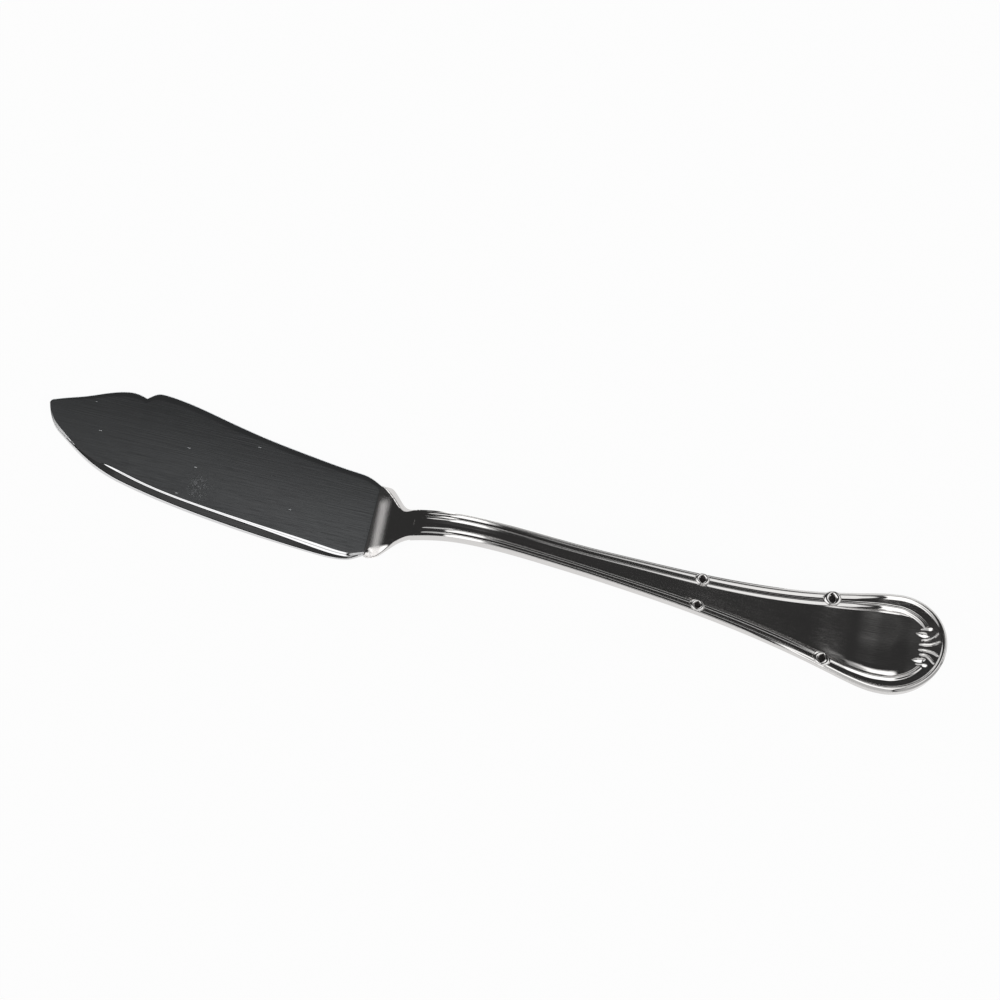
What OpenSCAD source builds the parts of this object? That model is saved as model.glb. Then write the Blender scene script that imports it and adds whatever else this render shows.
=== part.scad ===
// Fish knife in polished stainless steel with a reed and ribbon handle.
// The blade lies flat on the table, +X runs from the tip to the handle end,
// the cutting edge faces -Y and the decorated face looks up.

/* [Overall] */
// Length from the blade tip to the handle end
overall_l = 200; // [190:1:215]
// Length of the blade from its tip to the neck
blade_l = 74; // [66:1:80]
// Length of the neck that flares into the blade
neck_l = 9; // [7:0.5:12]
// Height of the knee, the highest point of the shank
knee_h = 11.2; // [8:0.2:14]
// Distance from the neck start to the knee
knee_run = 24; // [18:1:32]

/* [Blade] */
// Height of the tip above the handle axis, across the blade
tip_rise = 10.5; // [7:0.5:13]
// Height of the spine hump above the handle axis, across the blade
spine_rise = 18.4; // [14:0.2:22]
// Depth of the heel of the cutting edge below the handle axis
edge_drop = 9.6; // [7:0.2:12]
// Thickness of the blade
blade_t = 1.4; // [1.1:0.1:2]
// Width of the sloping step above the cutting edge
step_w = 0.8; // [0.4:0.1:1.4]
// Width of the thin land beside the cutting edge
land_w = 1.1; // [0.6:0.1:2]
// Thickness of the land at the foot of the step
land_t = 0.8; // [0.7:0.05:1]
// Thickness left at the cutting edge
lip_t = 0.6; // [0.3:0.05:0.65]

/* [Handle] */
// Half the width of the shank at its narrowest
shank_half_w = 2.76; // [2.3:0.05:4]
// Radius of the round handle end, half its greatest width
end_r = 11.4; // [9:0.2:14]
// Thickness of the shank below the knee
shank_t = 3; // [2.2:0.1:3.6]
// Thickness of the handle where it rests on the table
handle_t = 2.1; // [1.7:0.1:3]
// Thickness of the handle at its end
end_t = 2.8; // [1.9:0.1:3.4]
// Height that the handle end turns up by
end_lift = 3.9; // [1.5:0.1:5]
// Distance from the handle end to the point that rests on the table
rest_back = 20; // [16:1:28]
// Inset of the rounded lower edge
edge_inset = 0.45; // [0.3:0.05:1]

/* [Ornament] */
// Width of a reed on the shank
reed_w_shank = 1.02; // [0.8:0.02:1.1]
// Width of a reed at the handle end
reed_w_end = 1.45; // [1:0.05:2]
// Width of the groove between the reeds on the shank
groove_w_shank = 0.1; // [0.06:0.02:0.3]
// Width of the channel between the reeds at the handle end
groove_w_end = 1.25; // [0.4:0.05:1.6]
// Height of the reeds
reed_h = 0.45; // [0.2:0.05:0.7]
// Distance from the neck start to the start of the reeds
reed_start = 10; // [10:0.5:16]
// Distance from the handle end to the wide pair of ribbon ties
tie_wide_back = 26; // [23:0.5:32]
// Distance from the handle end to the narrow pair of ribbon ties
tie_narrow_back = 54.3; // [40:0.5:66]
// Length of a ribbon tie along the handle
tie_l = 2.9; // [2:0.1:4]
// Height of a ribbon tie
tie_h = 0.75; // [0.5:0.05:1]
// Height of the fan ridges
ridge_h = 0.4; // [0.2:0.05:0.6]
// Width of a fan ridge
ridge_w = 0.42; // [0.3:0.02:0.5]
// Height of the petals beside the fan
petal_h = 0.6; // [0.3:0.05:0.8]
// Width of the petals beside the fan
petal_w = 1.6; // [1:0.1:1.8]

/* [Hidden] */

// Stations along the handle axis
tip_x = -overall_l / 2;
end_x = overall_l / 2;
neck_x = tip_x + blade_l;
shank_x = neck_x + neck_l;
knee_x = neck_x + knee_run;
rest_x = end_x - rest_back;
round_x = end_x - end_r;
reed_x = neck_x + reed_start;
reed_full_x = reed_x + 2 * reed_w_shank;

// The box of the whole knife is centred on the origin across the blade
y_shift = (end_r - spine_rise) / 2;

// Spine: shares of the blade length, and of the climb from the tip to the hump
tip_to_notch_shares = [
    [0, 0], [0.003, 0.06], [0.01, 0.115], [0.027, 0.18], [0.1, 0.43], [0.162, 0.684], [0.205, 0.816],
    [0.236, 0.848], [0.272, 0.772]
];
notch_to_neck_shares = [
    [0.272, 0.772], [0.281, 0.85], [0.298, 0.968], [0.325, 1], [0.392, 0.924], [0.514, 0.677],
    [0.649, 0.411], [0.784, 0.215], [0.919, 0.06], [0.965, -0.01], [1, -0.17]
];

// Cutting edge: shares of the blade length, and of the fall from the tip to the heel
edge_shares = [
    [0, 0], [0.003, 0.035], [0.017, 0.157], [0.061, 0.331], [0.118, 0.48], [0.196, 0.637],
    [0.291, 0.741], [0.419, 0.833], [0.554, 0.903], [0.689, 0.955], [0.824, 0.99], [0.878, 1],
    [0.919, 0.998], [0.946, 0.984], [0.966, 0.962], [0.982, 0.928], [1, 0.885]
];

// Width of the thinned strip along the cutting edge, from tip to heel
strip_shares = [[0, 0.08], [0.06, 0.16], [0.2, 0.8], [0.5, 1], [0.86, 0.95], [0.95, 0.6], [1, 0.1]];

// Half width of the neck: shares of the neck length, and of the way from blade to shank
neck_side_shares = [
    [0, 0], [0.22, 0.12], [0.33, 0.22], [0.44, 0.42], [0.56, 0.66], [0.67, 0.85], [0.78, 0.95], [1, 1]
];

// Half width of the handle: shares of its length, and of the way from shank to round end
flare_shares = [
    [0, 0.039], [0.066, 0.012], [0.142, 0], [0.218, 0], [0.294, 0.01], [0.369, 0.032], [0.445, 0.074],
    [0.521, 0.123], [0.597, 0.188], [0.672, 0.28], [0.748, 0.405], [0.824, 0.572], [0.9, 0.789],
    [0.9375, 0.9], [0.975, 0.983], [1, 1]
];

// Reed and channel widths along the handle, between their shank and end sizes
reed_w_shares = [[0, 0], [0.445, 0.1], [0.63, 0.6], [0.83, 1], [1, 1]];
groove_w_shares = [[0, 0], [0.7, 0.02], [0.84, 0.06], [0.92, 0.3], [1, 0.85], [1.1, 1]];

// Side profile: the climb from blade to knee, then the fall from knee to table
climb_shares = [
    [0, 0], [0.042, 0.015], [0.083, 0.067], [0.125, 0.14], [0.167, 0.214], [0.25, 0.36],
    [0.333, 0.5], [0.5, 0.737], [0.667, 0.9], [0.833, 0.98], [1, 1]
];
fall_shares = [
    [0, 1], [0.049, 0.983], [0.146, 0.885], [0.244, 0.764], [0.39, 0.604], [0.537, 0.434],
    [0.683, 0.258], [0.829, 0.104], [0.927, 0.033], [1, 0]
];
lift_shares = [[0, 0], [0.3, 0.13], [0.5, 0.36], [0.7, 0.62], [0.9, 0.88], [1, 1]];

// Thickness under the top face: shares of the way from blade to shank, then to the table
neck_t_shares = [
    [0, 0], [0.042, 0.05], [0.083, 0.25], [0.125, 0.5], [0.167, 0.7], [0.25, 0.95],
    [0.4, 1.08], [0.6, 1.1], [1, 1]
];

// Fan, petals and curls: shares of the radius inside the outer reed, forward of the round's
// centre and out from the axis
fan_inner_shares = [[0.552, 0.061], [0.665, 0.066], [0.773, 0.076], [0.894, 0.115], [0.978, 0.167]];
fan_outer_shares = [[0.584, 0.166], [0.665, 0.17], [0.733, 0.181], [0.825, 0.246], [0.917, 0.361]];
petal_shares = [[0.453, 0.312], [0.527, 0.307], [0.619, 0.296], [0.687, 0.281], [0.754, 0.261]];
petal_swell_shares = [0.15, 0.8, 1, 0.7, 0.12];
ridge_swell_shares = [0.3, 0.9, 1, 1, 0.8];
curl_shares = [[0.538, 0.403], [0.619, 0.418], [0.687, 0.422], [0.745, 0.426], [0.796, 0.433]];
curl_swell_shares = [0.3, 0.7, 1, 1.25, 0.5];

// Angle from the axis at which the inner reeds stop on the round end
curl_angle = 39;
last_angle = 3;

// Rows of stations between the handle's landmarks
start_rows = 3;
shank_rows = 22;
tie_rows = 4;
waist_rows = 12;
paddle_rows = 8;
round_rows = 7;
fan_rows = 5;

// Samples along the curves
blade_steps = 60;
reed_sides = 6;
tie_steps = 12;
bead_sides = 6;
bead_steps = 10;

// Smooth curve through a table of points, read at x
function slope_at(t, i) =
    let (a = max(i - 1, 0), b = min(i + 1, len(t) - 1))
    (t[b][1] - t[a][1]) / (t[b][0] - t[a][0]);
function span_of(t, x, i = 0) = i >= len(t) - 2 || x < t[i + 1][0] ? i : span_of(t, x, i + 1);
function hermite(p, q, m, n, h, s) =
    p * (2 * s * s * s - 3 * s * s + 1) + q * (3 * s * s - 2 * s * s * s)
    + m * h * (s * s * s - 2 * s * s + s) + n * h * (s * s * s - s * s);
function curve(t, x) =
    let (v = min(max(x, t[0][0]), t[len(t) - 1][0]), i = span_of(t, v), h = t[i + 1][0] - t[i][0])
    hermite(t[i][1], t[i + 1][1], slope_at(t, i), slope_at(t, i + 1), h, (v - t[i][0]) / h);
function blend(a, b, s) = a + (b - a) * s;
function backwards(t) = [for (i = [len(t) - 1:-1:0]) t[i]];

// Side profile of the top face, and the thickness under it
function top_z(x) =
    x < knee_x ? blade_t + (knee_h - blade_t) * curve(climb_shares, (x - neck_x) / knee_run)
    : x < rest_x ? handle_t + (knee_h - handle_t) * curve(fall_shares, (x - knee_x) / (rest_x - knee_x))
    : handle_t + end_lift * curve(lift_shares, (x - rest_x) / rest_back);
function planned_t(x) =
    x < knee_x ? blend(blade_t, shank_t, curve(neck_t_shares, (x - neck_x) / knee_run))
    : x < rest_x ? blend(shank_t, handle_t, (x - knee_x) / (rest_x - knee_x))
    : blend(handle_t, end_t, (x - rest_x) / rest_back);
function body_t(x) = min(top_z(x), planned_t(x));
function along(x) = (x - shank_x) / (round_x - shank_x);
function reed_w(x) = blend(reed_w_shank, reed_w_end, curve(reed_w_shares, along(x)));
function groove_w(x) = blend(groove_w_shank, groove_w_end, curve(groove_w_shares, along(x)));
function half_w(x) = blend(shank_half_w, end_r, curve(flare_shares, along(x)));

// Plan curves of the blade
function spine_y(s) =
    tip_rise + (spine_rise - tip_rise)
    * (s < notch_to_neck_shares[0][0] ? curve(tip_to_notch_shares, s) : curve(notch_to_neck_shares, s));
function edge_y(s) = tip_rise - (tip_rise + edge_drop) * curve(edge_shares, s);
function blade_x(s) = tip_x + blade_l * s;
function edge_point(s) = [blade_x(s), edge_y(s)];
function unit(v) = v / norm(v);
function left_of(v) = [-v[1], v[0]];
function edge_inward(s) =
    let (d = 0.004, a = edge_point(max(s - d, 0)), b = edge_point(min(s + d, 1)))
    left_of(unit(b - a));
function strip_at(s) = (step_w + land_w) * curve(strip_shares, s);
edge_stations = [for (i = [0:blade_steps]) pow(i / blade_steps, 1.5)];
strip_from = 6;
strip_stations = [for (i = [strip_from:blade_steps]) edge_stations[i]];
function step_point(s) =
    s >= 1 ? [neck_x, edge_y(1) + strip_at(1)] : edge_point(s) + edge_inward(s) * strip_at(s);

// Plan stations of the handle: a point on the outline and the direction inwards
function spread(a, b, n) = [for (i = [0:n - 1]) a + (b - a) * i / n];
tie_wide_x = end_x - tie_wide_back;
tie_narrow_x = end_x - tie_narrow_back;
straight_x = concat(
    [shank_x],
    spread(reed_x, reed_full_x, start_rows),
    spread(reed_full_x, tie_narrow_x - tie_l / 2, shank_rows),
    spread(tie_narrow_x - tie_l / 2, tie_narrow_x + tie_l / 2, tie_rows),
    spread(tie_narrow_x + tie_l / 2, tie_wide_x - tie_l / 2, waist_rows),
    spread(tie_wide_x - tie_l / 2, tie_wide_x + tie_l / 2, tie_rows),
    spread(tie_wide_x + tie_l / 2, round_x, paddle_rows)
);
round_angles = concat(
    spread(90, curl_angle, round_rows),
    spread(curl_angle, last_angle, fan_rows),
    [last_angle]
);
function side_station(x) =
    let (d = land_w / 10, m = (half_w(x + d) - half_w(x - d)) / (2 * d), back = unit([1, m]))
    [[x, half_w(x)], x <= shank_x ? [0, -1] : [back[1], -back[0]], x];
function round_station(a) = [[round_x + end_r * cos(a), end_r * sin(a)], [-cos(a), -sin(a)], end_x];
stations = concat([for (x = straight_x) side_station(x)], [for (a = round_angles) round_station(a)]);
last = len(stations) - 1;
first_reed = 1;
narrow_first = first_reed + start_rows + shank_rows;
narrow_last = narrow_first + tie_rows;
wide_first = narrow_last + waist_rows;
wide_last = wide_first + tie_rows;
curl_station = wide_last + paddle_rows + round_rows;

// A point inwards from the outline of station i, on the far or near side
function in_from(i, d, side) = let (p = stations[i][0] + stations[i][1] * d) [p[0], side * p[1]];
function groove_outer(i) = reed_w(stations[i][2]);
function groove_inner(i) = groove_outer(i) + groove_w_at(i);
function groove_w_at(i) =
    stations[i][2] < end_x ? groove_w(stations[i][2]) : groove_w_end;
function border(i) = groove_inner(i) + reed_w(stations[i][2]);
function on_top(p, h = 0) = [p[0], p[1], top_z(p[0]) + h];
function at_depth(p, share) = [p[0], p[1], top_z(p[0]) - body_t(p[0]) * share];

// Solids lofted through rings of points
function quads(n, m, flip) = [
    for (i = [0:n - 2], j = [0:m - 1])
    let (a = i * m + j, b = i * m + (j + 1) % m, c = b + m, d = a + m)
    each flip ? [[a, b, c], [a, c, d]] : [[a, c, b], [a, d, c]]
];
function cap(m, from, pivot, flip) = [
    for (j = [1:m - 2])
    let (a = from + pivot, b = from + (pivot + j) % m, c = from + (pivot + j + 1) % m)
    flip ? [a, c, b] : [a, b, c]
];
function zipper(m, from) = [
    for (j = [0:m / 2 - 2])
    let (a = from + j, b = from + m - 1 - j)
    each [[a, b - 1, a + 1], [a, b, b - 1]]
];
module loft(rings, flip = false, pivot = 0, zipped = false) {
    n = len(rings);
    m = len(rings[0]);
    end = (n - 1) * m;
    closing = zipped ? zipper(m, end) : cap(m, end, pivot, !flip);
    polyhedron(
        points = [for (r = rings) each r],
        faces = concat(quads(n, m, flip), cap(m, 0, pivot, flip), closing)
    );
}
module placed() {
    translate([0, y_shift, 0]) children();
}

// Rounded lower edge of a section: how far in and how far down
wall_shares = [[0, 0.55], [0.35, 0.87], [1, 1]];
low_corner = 6;

module blade() {
    far = [for (s = edge_stations) [blade_x(s), spine_y(s)]];
    notch = [for (s = [0.255, 0.262, 0.268, 0.272, 0.277, 0.284, 0.29]) [blade_x(s), spine_y(s)]];
    before = [for (p = far) if (p[0] < notch[0][0]) p];
    after = [for (p = far) if (p[0] > notch[len(notch) - 1][0]) p];
    tip = [for (i = [1:strip_from]) edge_point(edge_stations[i])];
    step = [for (s = strip_stations) step_point(s)];
    outline = concat(before, notch, after, backwards(step), backwards(tip));
    placed() color([0.3, 0.31, 0.33]) linear_extrude(height = blade_t) polygon(outline);
}

module cutting_edge() {
    rings = [
        for (s = strip_stations)
        let (
            a = step_point(s),
            b = s >= 1 ? edge_point(1) : edge_point(s),
            c = b + (a - b) * land_w / (land_w + step_w)
        )
        [
            [a[0], a[1], 0],
            [b[0], b[1], 0],
            [b[0], b[1], lip_t],
            [c[0], c[1], land_t],
            [a[0], a[1], blade_t]
        ]
    ];
    placed() color([0.78, 0.79, 0.8]) loft(rings);
}

// Section of the neck between two outline points
function neck_ring(x) =
    let (
        s = (x - neck_x) / neck_l,
        k = curve(neck_side_shares, s),
        near = blend(-edge_y(1), half_w(shank_x), k),
        far = blend(spine_y(1), half_w(shank_x), k),
        inset = edge_inset * max(s, 0.1),
        b = border(0)
    )
    concat(
        [for (d = [b, groove_inner(0), groove_outer(0), 0]) [x, d - near, top_z(x)]],
        [for (w = wall_shares) [x, inset * w[0] - near, top_z(x) - body_t(x) * w[1]]],
        [for (w = backwards(wall_shares)) [x, far - inset * w[0], top_z(x) - body_t(x) * w[1]]],
        [for (d = [0, groove_outer(0), groove_inner(0), b]) [x, far - d, top_z(x)]]
    );

module neck() {
    rings = [for (x = concat(spread(neck_x, shank_x, 24), [shank_x])) neck_ring(x)];
    placed() color([0.5, 0.51, 0.53]) loft(rings, pivot = low_corner);
}

// Section of the handle at station i
function handle_ring(i) =
    concat(
        [for (d = [border(i), groove_inner(i), groove_outer(i), 0]) on_top(in_from(i, d, -1))],
        [for (w = wall_shares) at_depth(in_from(i, edge_inset * w[0], -1), w[1])],
        [for (w = backwards(wall_shares)) at_depth(in_from(i, edge_inset * w[0], 1), w[1])],
        [for (d = [0, groove_outer(i), groove_inner(i), border(i)]) on_top(in_from(i, d, 1))]
    );

module handle() {
    rings = [for (i = [0:last]) handle_ring(i)];
    placed() color([0.34, 0.34, 0.36]) loft(rings, pivot = low_corner, zipped = true);
}

// Section of a reed between two distances from the outline, rounded on top
function reed_swell(i) = i <= first_reed ? 0.15 : blend(0.15, 1, min(1, (i - first_reed) / start_rows));
function reed_ring(i, from, to, side, h) =
    let (p = in_from(i, from, side), q = in_from(i, to, side))
    concat(
        [on_top(q), on_top(p)],
        [
            for (k = [1:reed_sides - 1])
            let (a = 180 * k / reed_sides)
            on_top(blend(p, q, (1 - cos(a)) / 2), h * sin(a))
        ]
    );
function outer_rings(i0, i1, side) = [
    for (i = [i0:i1]) reed_ring(i, 0, groove_outer(i), side, reed_h * reed_swell(i))
];
function inner_rings(i0, i1, side) = [
    for (i = [i0:i1]) reed_ring(i, groove_inner(i), border(i), side, reed_h * reed_swell(i))
];

module outer_reed() {
    placed() color([0.72, 0.72, 0.74]) {
        for (side = [-1, 1], run = [[first_reed, narrow_first], [narrow_last, wide_first]]) {
            loft(outer_rings(run[0], run[1], side), side < 0);
        }
        loft(concat(outer_rings(wide_last, last, -1), backwards(outer_rings(wide_last, last, 1))), true);
    }
}

module inner_reeds() {
    placed() color([0.76, 0.76, 0.78]) {
        runs = [[first_reed, narrow_first], [narrow_last, wide_first], [wide_last, curl_station]];
        for (side = [-1, 1], run = runs) {
            loft(inner_rings(run[0], run[1], side), side < 0);
        }
    }
}

// A ribbon tie: a pointed eyelet raised over both reeds
eyelet_share = 0.6;
eyelet_rim_share = 0.3;
function reed_profile(i, d) =
    d < groove_outer(i) ? sin(180 * d / groove_outer(i))
    : d > groove_inner(i) ? sin(180 * (d - groove_inner(i)) / (border(i) - groove_inner(i)))
    : 0;
function eyelet_rise(a, c) =
    let (r = abs(a) + abs(c))
    max(0.12, 1 - pow((r - eyelet_share) / eyelet_rim_share, 2));
function tie_height(i, d, a, c) =
    let (r = abs(a) + abs(c), reeds = max(0.15, reed_h / tie_h * reed_profile(i, d)))
    tie_h * (r < eyelet_share ? eyelet_rise(a, c) : max(reeds, eyelet_rise(a, c)));
module tie(first, count, side) {
    n = tie_steps;
    function spot(u, v) =
        let (
            i = min(first + floor(u * count / n), first + count - 1),
            f = u * count / n - (i - first),
            p = in_from(i, border(i) * v / n, side),
            q = in_from(i + 1, border(i + 1) * v / n, side)
        )
        blend(p, q, f);
    function lift(u, v) =
        let (i = first + round(u * count / n))
        tie_height(i, border(i) * v / n, 2 * u / n - 1, 2 * v / n - 1);
    tops = [for (u = [0:n], v = [0:n]) on_top(spot(u, v), lift(u, v))];
    feet = [for (u = [0:n], v = [0:n]) on_top(spot(u, v))];
    m = n + 1;
    low = m * m;
    rim = concat(
        [for (v = [0:n - 1]) v],
        [for (u = [0:n - 1]) u * m + n],
        [for (v = [n:-1:1]) n * m + v],
        [for (u = [n:-1:1]) u * m]
    );
    skins = [
        for (u = [0:n - 1], v = [0:n - 1])
        let (a = u * m + v, b = a + 1, c = a + m + 1, d = a + m)
        each [[a, b, c], [a, c, d], [low + a, low + c, low + b], [low + a, low + d, low + c]]
    ];
    walls = [
        for (k = [0:len(rim) - 1])
        let (a = rim[k], b = rim[(k + 1) % len(rim)])
        each [[a, low + a, low + b], [a, low + b, b]]
    ];
    faces = concat(skins, walls);
    polyhedron(points = concat(tops, feet), faces = side > 0 ? [for (f = faces) backwards(f)] : faces);
}

module ribbon_ties() {
    placed() color([0.85, 0.85, 0.86]) {
        for (side = [-1, 1], first = [narrow_first, wide_first]) {
            tie(first, tie_rows, side);
        }
    }
}

// A rounded bead along a table of places, with its own width at each place
fan_r = end_r - reed_w_end;
function fan_place(share, side) = [round_x + fan_r * share[0], side * fan_r * share[1]];
function reading(t, k, s) = curve([for (i = [0:len(t) - 1]) [i / (len(t) - 1), t[i][k]]], s);
function swell(t, s) = curve([for (i = [0:len(t) - 1]) [i / (len(t) - 1), t[i]]], s);
module bead(shares, swells, w, h, side) {
    function at(s) = fan_place([reading(shares, 0, s), reading(shares, 1, s)], side);
    rings = [
        for (k = [0:bead_steps])
        let (
            s = k / bead_steps,
            d = 1 / bead_steps / 2,
            across = left_of(unit(at(min(s + d, 1)) - at(max(s - d, 0)))) * w / 2 * swell(swells, s),
            p = at(s) + across,
            q = at(s) - across
        )
        concat(
            [on_top(q), on_top(p)],
            [
                for (j = [1:bead_sides - 1])
                let (a = 180 * j / bead_sides)
                on_top(blend(p, q, (1 - cos(a)) / 2), h * sin(a) * min(1, swell(swells, s)))
            ]
        )
    ];
    loft(rings);
}

module fan_ridges() {
    placed() color([0.85, 0.85, 0.86]) {
        for (side = [-1, 1], line = [fan_inner_shares, fan_outer_shares]) {
            bead(line, ridge_swell_shares, ridge_w, ridge_h, side);
        }
    }
}

module fan_petals() {
    placed() color([0.82, 0.82, 0.84]) {
        for (side = [-1, 1]) {
            bead(petal_shares, petal_swell_shares, petal_w, petal_h, side);
        }
    }
}

module end_curls() {
    placed() color([0.8, 0.8, 0.82]) {
        for (side = [-1, 1]) {
            bead(curl_shares, curl_swell_shares, ridge_w, ridge_h, side);
        }
    }
}

blade();
cutting_edge();
neck();
handle();
outer_reed();
inner_reeds();
ribbon_ties();
fan_ridges();
fan_petals();
end_curls();
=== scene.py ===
"""Fish knife: the finished surfaces of a polished steel knife with a reed and ribbon handle."""

import logging
import math
from dataclasses import dataclass, field
from enum import Enum

import bpy
import numpy as np
from mathutils import Matrix, Vector


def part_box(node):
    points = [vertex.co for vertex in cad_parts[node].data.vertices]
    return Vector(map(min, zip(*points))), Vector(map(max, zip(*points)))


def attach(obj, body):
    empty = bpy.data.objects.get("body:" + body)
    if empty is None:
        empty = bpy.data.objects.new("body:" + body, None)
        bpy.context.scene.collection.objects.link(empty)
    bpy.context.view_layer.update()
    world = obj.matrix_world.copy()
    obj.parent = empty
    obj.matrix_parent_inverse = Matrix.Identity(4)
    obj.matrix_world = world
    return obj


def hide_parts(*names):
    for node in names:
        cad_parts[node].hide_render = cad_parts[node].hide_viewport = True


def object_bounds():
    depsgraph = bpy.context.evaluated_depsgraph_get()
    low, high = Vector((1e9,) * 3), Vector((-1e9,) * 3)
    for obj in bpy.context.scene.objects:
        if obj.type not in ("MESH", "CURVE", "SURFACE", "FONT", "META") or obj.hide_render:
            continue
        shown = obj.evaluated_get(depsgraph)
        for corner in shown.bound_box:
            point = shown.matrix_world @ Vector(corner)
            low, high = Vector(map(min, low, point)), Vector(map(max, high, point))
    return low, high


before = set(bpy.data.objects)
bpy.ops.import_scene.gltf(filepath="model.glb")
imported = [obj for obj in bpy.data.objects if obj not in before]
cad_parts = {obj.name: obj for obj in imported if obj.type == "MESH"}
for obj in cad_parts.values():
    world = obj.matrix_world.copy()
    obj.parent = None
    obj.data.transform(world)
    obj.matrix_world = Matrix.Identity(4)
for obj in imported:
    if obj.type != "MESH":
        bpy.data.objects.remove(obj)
CAD_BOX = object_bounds()

LOG = logging.getLogger("fish_knife")
MM = 0.001
BODY = "root"
WELD = 1e-7
PLAIN_ANGLE = 40.0
RELIEF_ANGLE = 60.0
Points = np.ndarray
Zone = tuple[float, float]
Pairs = tuple[tuple[float, float], ...]
Triple = tuple[float, float, float]


class Side(Enum):
    """The two long sides of the knife: the cutting edge is on the near one."""

    NEAR = -1.0
    FAR = 1.0


class Slot(Enum):
    """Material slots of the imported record."""

    BLADE = "blade_polish"
    EDGE = "edge_polish"
    SHANK = "shank_polish"
    HANDLE = "handle_polish"
    ORNAMENT = "ornament_polish"


@dataclass(frozen=True)
class Track:
    """A smooth curve through a few given points, read at any place."""

    points: Pairs

    def __call__(self, at: Points) -> Points:
        """Read the curve.

        Args:
            at: Places along the curve; they are held to its first and last point.

        Returns:
            The curve's value at each place.
        """
        xs, ys = np.array(self.points, float).T
        gaps = np.diff(xs)
        rises = np.diff(ys) / gaps
        size = len(xs)
        system = np.zeros((size, size))
        right = np.zeros(size)
        system[0, :2] = (2.0, 1.0)
        system[-1, -2:] = (1.0, 2.0)
        right[0], right[-1] = 3.0 * rises[0], 3.0 * rises[-1]
        for i in range(1, size - 1):
            system[i, i - 1 : i + 2] = (gaps[i], 2.0 * (gaps[i - 1] + gaps[i]), gaps[i - 1])
            right[i] = 3.0 * (gaps[i] * rises[i - 1] + gaps[i - 1] * rises[i])
        slopes = np.linalg.solve(system, right)
        at = np.clip(np.asarray(at, float), xs[0], xs[-1])
        i = np.clip(np.searchsorted(xs, at, side="right") - 1, 0, size - 2)
        h, s = gaps[i], (at - xs[i]) / gaps[i]
        return (
            ys[i] * (2 * s**3 - 3 * s**2 + 1)
            + ys[i + 1] * (3 * s**2 - 2 * s**3)
            + slopes[i] * h * (s**3 - 2 * s**2 + s)
            + slopes[i + 1] * h * (s**3 - s**2)
        )


def smooth_step(low: float, high: float, at: Points) -> Points:
    """Rise from 0 to 1 between two places, level at both ends."""
    s = np.clip((np.asarray(at, float) - low) / (high - low), 0.0, 1.0)
    return s * s * (3.0 - 2.0 * s)


def hump(size: float, rise: Zone, fall: Zone, at: Points) -> Points:
    """Rise from 0 to a size over one zone, and fall back to 0 over another."""
    return size * smooth_step(*rise, at) * (1 - smooth_step(*fall, at))


def blend(a: Points, b: Points, share: Points) -> Points:
    """Mix two values."""
    return a + (b - a) * share


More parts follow.
